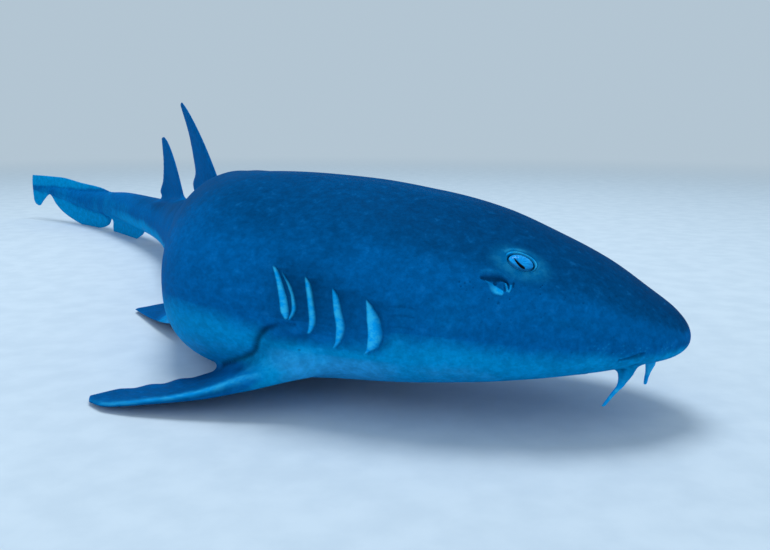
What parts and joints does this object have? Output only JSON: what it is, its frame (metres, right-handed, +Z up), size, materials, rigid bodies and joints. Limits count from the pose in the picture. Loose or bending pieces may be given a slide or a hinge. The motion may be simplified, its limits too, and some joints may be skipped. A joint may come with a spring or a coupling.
{
  "type": "bamboo shark",
  "caption": "Life-size still model of a bottom-dwelling bamboo shark at rest, trunk curled to the left behind the gills and tail trailing away.",
  "frame": {"origin": "on the floor under the middle of the bounding box", "axes": "+Z up; the head points along +X and a little to -Y; the tail trails away along +Y and -X"},
  "size_m": [0.601, 0.7688, 0.1435],
  "materials": {
    "skin": "satin, finely rough, deep water blue over a paler belly",
    "fin_skin": "satin, finely rough",
    "barbel_skin": "soft satin",
    "eyeball": "wet gloss with a dark slit pupil"
  },
  "bodies": {
    "root": {"head": "skin", "gill_region": "skin", "front_trunk": "skin", "rear_trunk": "skin", "tail_base": "skin", "tail_middle": "skin", "tail_end": "skin", "caudal_fin": "fin_skin", "first_dorsal_fin": "fin_skin", "second_dorsal_fin": "fin_skin", "anal_fin": "fin_skin", "pectoral_fin_left": "fin_skin", "pectoral_fin_right": "fin_skin", "pelvic_fin_left": "fin_skin", "pelvic_fin_right": "fin_skin", "barbel_left": "barbel_skin", "barbel_right": "barbel_skin", "eye_left": "eyeball", "eye_right": "eyeball"}
  },
  "joints": []
}
